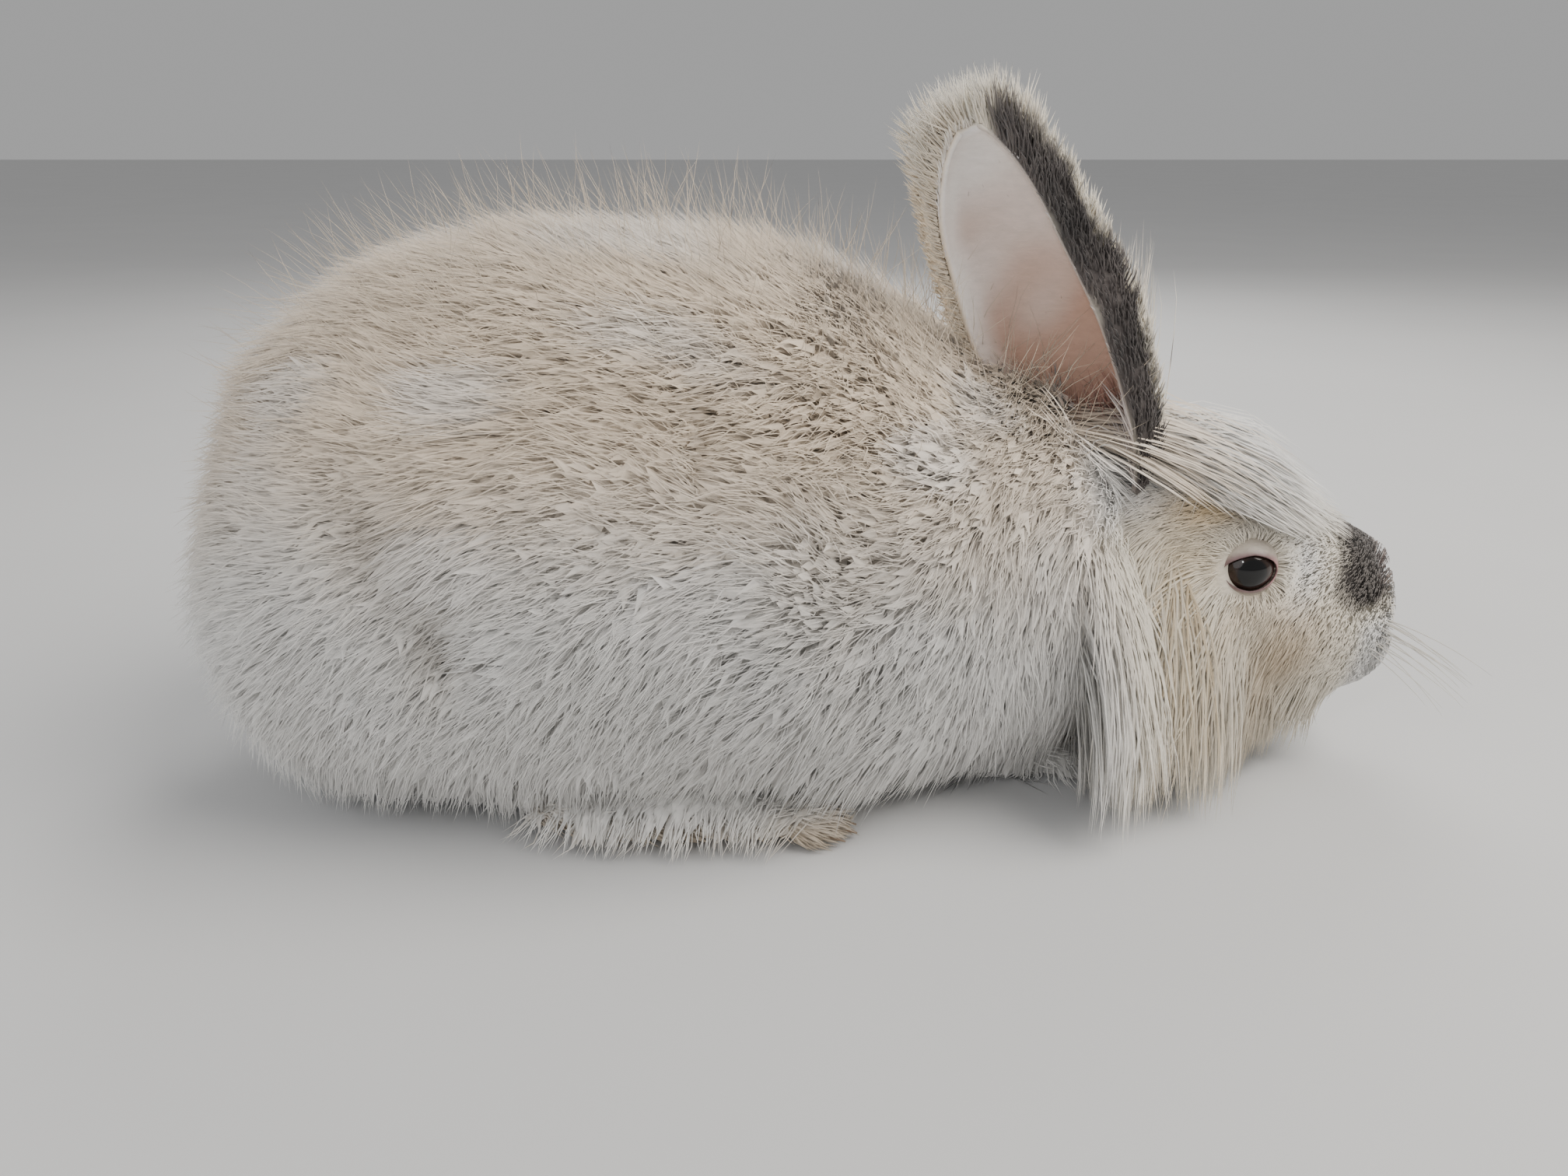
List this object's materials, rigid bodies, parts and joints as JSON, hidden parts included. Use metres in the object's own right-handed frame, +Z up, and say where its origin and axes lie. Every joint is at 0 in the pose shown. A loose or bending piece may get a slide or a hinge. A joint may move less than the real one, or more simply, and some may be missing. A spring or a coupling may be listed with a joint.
{
  "type": "angora rabbit",
  "caption": "Life-size still model of a crouching angora rabbit with a long woolly coat, tufted upright ears, a hanging brow and a beard-like cheek coat.",
  "frame": {"origin": "middle of the model's footprint, on the surface that it rests on", "axes": "+X towards the nose, +Y to the rabbit's left, +Z up"},
  "size_m": [0.4264, 0.2042, 0.2345],
  "materials": {
    "wool": "matte, soft",
    "face_fur": "matte, soft",
    "ear_skin": "satin, thinly furred",
    "eye": "wet gloss"
  },
  "bodies": {
    "root": {"torso": "wool", "neck": "wool", "tail": "wool", "hindleg_left": "wool", "hindleg_right": "wool", "foreleg_left": "wool", "foreleg_right": "wool", "head": "face_fur", "ear_left": "ear_skin", "ear_right": "ear_skin", "eye_left": "eye", "eye_right": "eye"}
  },
  "joints": []
}
